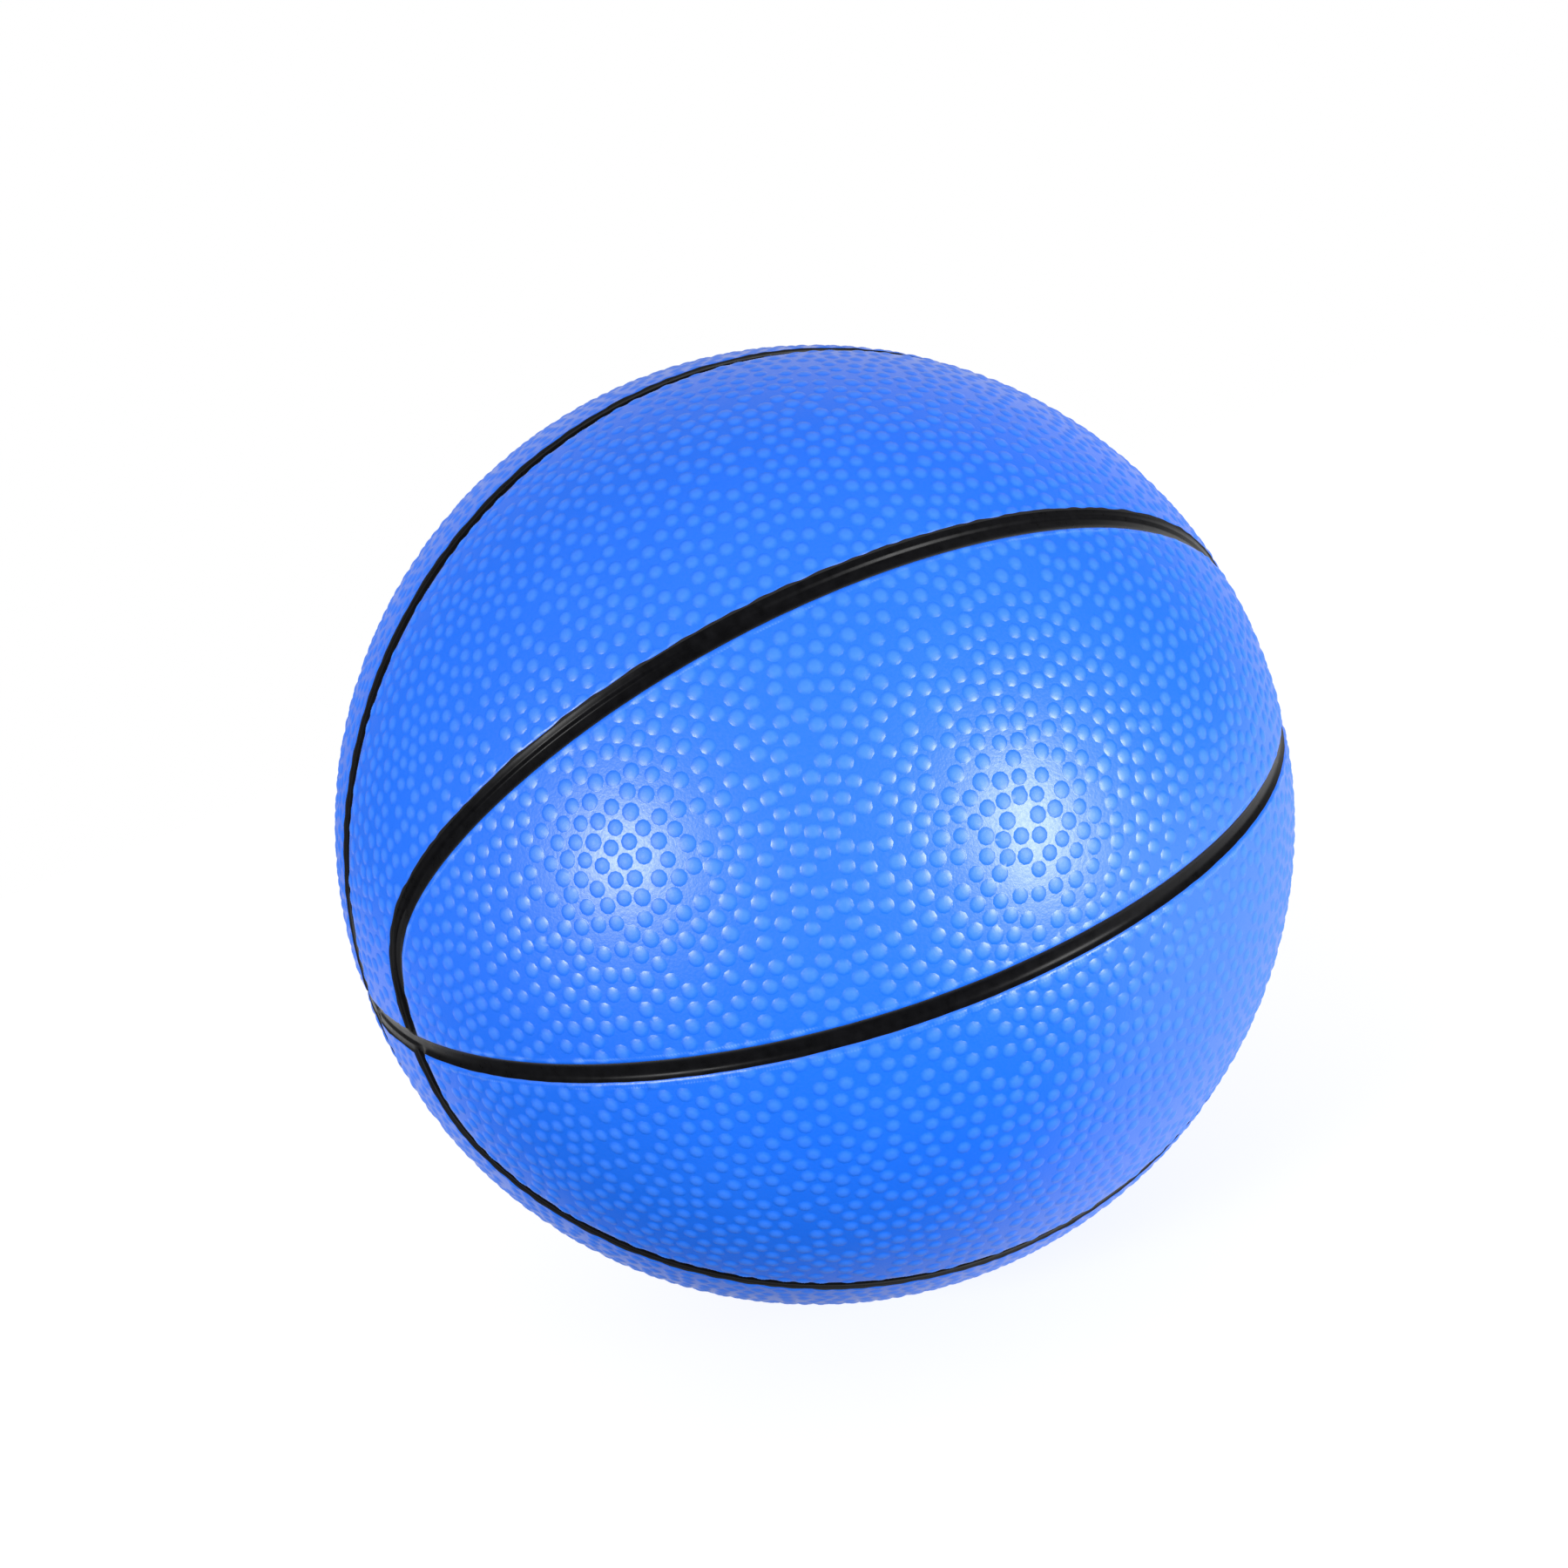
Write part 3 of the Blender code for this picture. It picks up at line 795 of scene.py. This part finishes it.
def lay_strip(name, seam, start, stop):
    """A hollow-faced strip along a seam, between two turns."""
    length = line_length(seam(np.linspace(start, stop, SEAM_SAMPLES)))
    bpy.ops.object.select_all(action="DESELECT")
    rows = 2 * len(STRIP_SHARES) - 2
    bpy.ops.mesh.primitive_grid_add(x_subdivisions=round(length / STRIP_STEP), y_subdivisions=rows, size=1)
    strip = bpy.context.object
    strip.name = name
    strip.data.name = name
    spots = np.empty(3 * len(strip.data.vertices))
    strip.data.vertices.foreach_get("co", spots)
    along, across, _ = spots.reshape(-1, 3).T
    turns = start + (along + 0.5) * (stop - start)
    ahead = seam(turns + TURN_STEP) - seam(turns - TURN_STEP)
    middle = seam(turns)
    sideways = unit(np.cross(ahead, middle))
    side = np.sign(across)
    half = channel_half(middle + SIDE_STEP * side[:, None] * sideways) - STRIP_GAP
    half *= side * np.interp(2 * np.abs(across), np.linspace(0, 1, len(STRIP_SHARES)), STRIP_SHARES)
    angle = (half / BALL_RADIUS)[:, None]
    directions = np.cos(angle) * middle + np.sin(angle) * sideways
    edge = channel_half(directions)
    share = np.minimum(seam_distance(directions) / (edge - STRIP_GAP), 1)
    hollow = STRIP_HOLLOW * (1 - strip_height(share, edge == CROWN_EDGE))
    radius = (STRIP_EDGE_RADIUS - hollow)[:, None]
    strip.data.vertices.foreach_set("co", (directions * radius).ravel())
    thicken_strip(strip)
    return strip


def back_loop_seam(turns):
    return loop_seam(turns) * (1, -1, 1)


def end_turn(seam, edge):
    """The turn at which a seam leaves the level strip, whose edge is given."""
    turns = np.linspace(0, LONGEST_END, SEAM_SAMPLES)
    return turns[np.argmax(seam(turns)[:, 2] > math.sin((edge - STRIP_GAP) / BALL_RADIUS))]


STRIPS = [lay_strip("channel_strip_horizontal_face", level_seam, 0, 2 * math.pi)]
for name, seam, edge in (
    ("vertical", upright_seam, CROWN_EDGE),
    ("front_loop", loop_seam, FACE_EDGE),
    ("back_loop", back_loop_seam, FACE_EDGE),
):
    start = end_turn(seam, edge)
    STRIPS.append(lay_strip(f"channel_strip_{name}_upper_face", seam, start, math.pi - start))
    STRIPS.append(lay_strip(f"channel_strip_{name}_lower_face", seam, math.pi + start, 2 * math.pi - start))
for strip in STRIPS:
    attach(strip, "ball")
    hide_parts(strip.name.removesuffix("_face"))
print(len(STRIPS), "strips,", sum(open_edges(strip) for strip in STRIPS), "open edges")

# %% [markdown]
# ## The valve
# The valve is two turned rubber pieces: a housing that runs through every layer, with a flange inside the
# bladder, and a core that plugs it and can be pulled out. Both are made the way a lathe makes them, from one
# ring that is extruded and resized along the outline of the piece. A bevel then rounds the edges, and the
# piece is tipped to lie along the valve's axis.

# %% Valve
LATHE_CORNERS = 64
EDGE_ROUND = 0.18 * MM
EDGE_SEGMENTS = 3
EDGE_ANGLE = math.radians(25)  # sharper edges than this are rounded
TURNED_SHARP_ANGLE = math.radians(35)


def turn_piece(name, outline, closed):
    """A round piece from (radius, height) points in metres. Heights are from the ball's centre."""
    radius, height = outline[0]
    bpy.ops.object.select_all(action="DESELECT")
    cap = "NOTHING" if closed else "NGON"
    bpy.ops.mesh.primitive_circle_add(
        vertices=LATHE_CORNERS, radius=radius, fill_type=cap, location=(0, 0, height)
    )
    piece = bpy.context.object
    piece.name = name
    piece.data.name = name
    bpy.ops.object.transform_apply()
    bpy.ops.object.mode_set(mode="EDIT")
    bpy.ops.mesh.select_mode(type="EDGE")
    for next_radius, next_height in outline[1:] + outline[: int(closed)]:
        bpy.ops.mesh.extrude_edges_indiv()
        grow = next_radius / radius
        bpy.ops.transform.resize(value=(grow, grow, 1), center_override=(0, 0, height))
        bpy.ops.transform.translate(value=(0, 0, next_height - height))
        radius, height = next_radius, next_height
    if not closed:
        bpy.ops.mesh.edge_face_add()
    bpy.ops.mesh.select_all(action="SELECT")
    bpy.ops.mesh.remove_doubles(threshold=MERGE_DISTANCE)
    bpy.ops.mesh.normals_make_consistent(inside=False)
    bpy.ops.object.mode_set(mode="OBJECT")
    bpy.ops.object.modifier_add(type="BEVEL")
    bevel = piece.modifiers[-1]
    bevel.width = EDGE_ROUND
    bevel.segments = EDGE_SEGMENTS
    bevel.limit_method = "ANGLE"
    bevel.angle_limit = EDGE_ANGLE
    bpy.ops.object.modifier_apply(modifier=bevel.name)
    piece.rotation_euler = VALVE_AXIS.to_track_quat("Z", "Y").to_euler()
    bpy.ops.object.transform_apply()
    bpy.ops.object.shade_smooth_by_angle(angle=TURNED_SHARP_ANGLE)
    return piece


print(f"valve pieces have {LATHE_CORNERS} corners round")

# %% Housing and core
HOUSING_OUTLINE = [  # from the seat of the core's head round the outside to the bore
    (3.3 * MM, 74.4 * MM),
    (5.0 * MM, 74.4 * MM),
    (5.0 * MM, 70.25 * MM),
    (10.0 * MM, 69.72 * MM),
    (10.0 * MM, 68.52 * MM),
    (4.2 * MM, 69.05 * MM),
    (4.2 * MM, 62.4 * MM),
    (2.5 * MM, 62.4 * MM),
    (2.5 * MM, 72.9 * MM),
    (3.3 * MM, 72.9 * MM),
]
CORE_OUTLINE = [  # from the floor of the needle's hole over the head to the tip
    (1.0 * MM, 70.4 * MM),
    (1.0 * MM, 73.8 * MM),
    (1.6 * MM, 74.4 * MM),
    (3.0 * MM, 74.4 * MM),
    (3.0 * MM, 73.2 * MM),
    (2.2 * MM, 73.2 * MM),
    (2.2 * MM, 64.2 * MM),
    (1.6 * MM, 62.4 * MM),
]
housing = turn_piece("valve_housing_turned", HOUSING_OUTLINE, True)
core = turn_piece("valve_core_turned", CORE_OUTLINE, False)
VALVE = {housing: "ball", core: "valve_core"}
for piece, body in VALVE.items():
    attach(piece, body)
    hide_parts(piece.name.removesuffix("_turned"))
    print(piece.name, len(piece.data.polygons), "faces,", open_edges(piece), "open edges")

# %% [markdown]
# ## Materials
# Every material is a Principled shader with textures in its sockets. The textures read Object coordinates,
# which are metres on the ball, so a texture's scale is one over the size of its grain. The plain rubbers
# share one recipe: patches between two colours and two roughnesses, and a fine grain.

# %% Material helpers
NOISE_SPAN = (0.3, 0.7)  # where nearly all of a noise lies


def start_material(name, **sockets):
    """A Principled material with constant sockets, and the Object coordinates for its textures."""
    material = bpy.data.materials.new(name)
    material.use_nodes = True
    tree = material.node_tree
    shader = tree.nodes["Principled BSDF"]
    for socket, value in sockets.items():
        shader.inputs[socket.replace("_", " ")].default_value = value
    return material, tree, shader, tree.nodes.new("ShaderNodeTexCoord").outputs["Object"]


def noise(tree, place, grain_size, detail=2.0):
    """Noise with a grain of a given size."""
    inputs = {"Vector": place, "Scale": 1 / grain_size, "Detail": detail}
    return add_node(tree, "ShaderNodeTexNoise", inputs).outputs["Fac"]


def spread(tree, value, low, high, from_low=NOISE_SPAN[0], from_high=NOISE_SPAN[1]):
    """The same value on another range."""
    inputs = {"Value": value, 1: from_low, 2: from_high, 3: low, 4: high}
    return add_node(tree, "ShaderNodeMapRange", inputs).outputs[0]


def stored(tree, name):
    """A number that is kept on every corner of the mesh."""
    return add_node(tree, "ShaderNodeAttribute", {}, attribute_name=name).outputs["Fac"]


def mix_colour(tree, factor, first, second):
    inputs = {0: factor, 6: first, 7: second}
    return add_node(tree, "ShaderNodeMix", inputs, data_type="RGBA").outputs[2]


def roughen(tree, shader, height, depth):
    """Bumps up to a depth in metres."""
    bump = add_node(tree, "ShaderNodeBump", {"Height": height, "Distance": depth, "Strength": 1.0})
    tree.links.new(bump.outputs[0], shader.inputs["Normal"])


def make_rubber(name, colours, roughness, patches, grain, depth, span=NOISE_SPAN, **sockets):
    """Rubber in patches, with a grain of a depth in metres. Patches and grain have a size and a detail."""
    material, tree, shader, place = start_material(name, **sockets)
    patchy = spread(tree, noise(tree, place, *patches), 0, 1, *span)
    tree.links.new(mix_colour(tree, patchy, *colours), shader.inputs["Base Color"])
    tree.links.new(spread(tree, patchy, *roughness, 0, 1), shader.inputs["Roughness"])
    roughen(tree, shader, noise(tree, place, *grain), depth)
    return material


def dress(pieces, material):
    for piece in pieces:
        piece.data.materials.clear()
        piece.data.materials.append(material)
    print(material.name, "on", len(pieces))


# %% [markdown]
# ### Blue cover
# The cover is moulded rubber. The ground between the pebbles is glossy and the tops of the pebbles are
# duller, so each pebble shows as a dark disc inside a highlight. The ground is painted a deeper blue as
# shade between the pebbles and the tops are painted paler as a sheen, so each pebble shows as a pale disc in
# plain light. The blue varies slightly over the panel. A pale line, in patches, is painted along the rounded
# edges of the face panels as the highlight that the lip catches. Along the crown panels' edges the black of
# the channel has crept up between the pebbles, in a wavy line.

# %% Blue cover
# Painted light: the ground's deeper blue is painted shade between the pebbles, and the tops' paler blue is a
# painted sheen.
GROUND_BLUE_PAINTED_SHADE = (0.0, 0.148, 0.89, 1)
TOP_BLUE_PAINTED_SHEEN = (0.013, 0.190, 0.95, 1)
# Painted highlight: a paler blue, in patches, along the face panels' rounded edge, where the lip catches the
# light.
LIP_HIGHLIGHT_BLUE = (0.100, 0.290, 0.95, 1)
PAINTED_SHEEN_SPAN = (0.05, 0.65)  # heights up a pebble between which the blue turns pale
DULL_SPAN = (0.12, 0.75)  # and between which it turns dull
MOTTLE = 0.12
MOTTLE_GRAIN = 12 * MM
LIP_HIGHLIGHT_GRAIN = 4 * MM
LIP_HIGHLIGHT_LEVELS = (0.1, 1)
LIP_HIGHLIGHT_SPAN = (0.4, 0.6)
PAINT_BLACK = (0.003, 0.003, 0.004, 1)
PAINT_WAVE = 0.09  # mm
PAINT_GRAIN = 2.5 * MM
PAINT_FADE = 0.03  # mm, half the width of its soft edge
PAINT_LIFT = 0.2  # mm nearer the edge on a pebble's top
GROUND_ROUGHNESS = 0.37
TOP_ROUGHNESS = 0.54
PAINT_ROUGHNESS = 1.0
FINE_GRAIN = 0.45 * MM
FINE_DEPTH = 0.026 * MM
FINE_DULLNESS = 0.03


def make_cover():
    material, tree, shader, place = start_material("cover_blue", Specular_IOR_Level=1.0)
    pebble = stored(tree, "pebble")
    mottle = spread(tree, noise(tree, place, MOTTLE_GRAIN, detail=3), -MOTTLE, MOTTLE)
    # Painted sheen on the pebble tops over painted shade on the ground, with a real random mottle of the
    # blue added.
    painted_sheen_and_mottle = combine(tree, "ADD", spread(tree, pebble, 0, 1, *PAINTED_SHEEN_SPAN), mottle)
    blue = mix_colour(tree, painted_sheen_and_mottle, GROUND_BLUE_PAINTED_SHADE, TOP_BLUE_PAINTED_SHEEN)
    # The painted highlight along the face panels' rounded edge, broken into patches.
    patchy = spread(tree, noise(tree, place, LIP_HIGHLIGHT_GRAIN), *LIP_HIGHLIGHT_LEVELS, *LIP_HIGHLIGHT_SPAN)
    worn = combine(tree, "MULTIPLY", stored(tree, "worn"), patchy)
    blue = mix_colour(tree, worn, blue, LIP_HIGHLIGHT_BLUE)
    wave = spread(tree, noise(tree, place, PAINT_GRAIN, detail=0), -PAINT_WAVE, PAINT_WAVE)
    lift = spread(tree, pebble, 0, PAINT_LIFT, 0, 1)
    past_paint = combine(tree, "ADD", combine(tree, "ADD", stored(tree, "past_paint"), wave), lift)
    clean = spread(tree, past_paint, 0, 1, -PAINT_FADE, PAINT_FADE)
    tree.links.new(mix_colour(tree, clean, PAINT_BLACK, blue), shader.inputs["Base Color"])
    fine = noise(tree, place, FINE_GRAIN)
    dullness = spread(tree, pebble, GROUND_ROUGHNESS, TOP_ROUGHNESS, *DULL_SPAN)
    dullness = combine(tree, "ADD", dullness, spread(tree, fine, -FINE_DULLNESS, FINE_DULLNESS))
    dullness = mix_number(tree, clean, PAINT_ROUGHNESS, dullness)
    tree.links.new(dullness, shader.inputs["Roughness"])
    roughen(tree, shader, fine, FINE_DEPTH)
    return material


dress(PANELS, make_cover())

# %% [markdown]
# ### Black channel
# The strips are smooth, with a low gloss and fine scuffs that only show in the highlights. A faint sheen
# pales them where they are seen at a slant.

# %% Black channel
channel = make_rubber(
    "channel_black",
    colours=((0.0025, 0.0025, 0.003, 1), (0.005, 0.005, 0.006, 1)),
    roughness=(0.26, 0.34),
    patches=(1.5 * MM, 4),
    grain=(0.5 * MM, 2),
    depth=0.002 * MM,
    Specular_IOR_Level=0.12,
    Sheen_Weight=0.12,
    Sheen_Roughness=0.4,
)
dress(STRIPS, channel)

# %% [markdown]
# ### Valve rubber
# The valve is matt black rubber with a fine bloom on it.

# %% Valve rubber
valve_rubber = make_rubber(
    "valve_rubber",
    colours=((0.010, 0.010, 0.011, 1), (0.022, 0.022, 0.024, 1)),
    roughness=(0.42, 0.6),
    patches=(0.8 * MM, 4),
    grain=(0.25 * MM, 2),
    depth=0.004 * MM,
    Specular_IOR_Level=0.4,
)
dress(list(VALVE), valve_rubber)

# %% [markdown]
# ### The layers under the cover
# These keep their CAD shape. The carcass is dull grey-black rubber with the fine grain of its mould. The
# winding is one thread laid in every direction, drawn here as three sets of lines that cross. The bladder is
# butyl rubber, dusted with talc so that it doesn't stick.

# %% Inner layers
LAY_TURNS = ((0.0, 0.0, 0.0), (1.1, 0.4, 0.9), (0.5, 1.9, 0.3))  # radians
LAY_LINES = {"Scale": 350.0, "Distortion": 1.2, "Detail": 1.0}
THREAD_COLOURS = ((0.40, 0.38, 0.33, 1), (0.74, 0.72, 0.66, 1))  # between the lines and on them
THREAD_SPAN = (0.4, 1)
THREAD_ROUGHNESS = (0.8, 0.55)
THREAD_DEPTH = 0.1 * MM


def make_thread():
    material, tree, shader, place = start_material("winding_thread", Specular_IOR_Level=0.25)
    lays = []
    for turn in LAY_TURNS:
        mapped = add_node(tree, "ShaderNodeMapping", {"Vector": place, "Rotation": turn}).outputs[0]
        lays.append(add_node(tree, "ShaderNodeTexWave", {"Vector": mapped, **LAY_LINES}).outputs["Fac"])
    thread = combine(tree, "MAXIMUM", combine(tree, "MAXIMUM", lays[0], lays[1]), lays[2])
    colour = mix_colour(tree, spread(tree, thread, 0, 1, *THREAD_SPAN), *THREAD_COLOURS)
    tree.links.new(colour, shader.inputs["Base Color"])
    tree.links.new(spread(tree, thread, *THREAD_ROUGHNESS, 0, 1), shader.inputs["Roughness"])
    roughen(tree, shader, thread, THREAD_DEPTH)
    return material


carcass_rubber = make_rubber(
    "carcass_rubber",
    colours=((0.028, 0.028, 0.030, 1), (0.045, 0.045, 0.048, 1)),
    roughness=(0.6, 0.75),
    patches=(9 * MM, 4),
    grain=(0.6 * MM, 3),
    depth=0.01 * MM,
    Specular_IOR_Level=0.3,
)
bladder_rubber = make_rubber(
    "bladder_rubber",
    colours=((0.013, 0.013, 0.014, 1), (0.11, 0.11, 0.115, 1)),
    roughness=(0.35, 0.8),
    patches=(5 * MM, 6),
    grain=(1.2 * MM, 3),
    depth=0.01 * MM,
    span=(0.5, 0.75),
    Specular_IOR_Level=0.4,
)
dress([frame["nodes"]["carcass"]], carcass_rubber)
dress([frame["nodes"]["thread_winding"]], make_thread())
dress([frame["nodes"]["bladder"]], bladder_rubber)
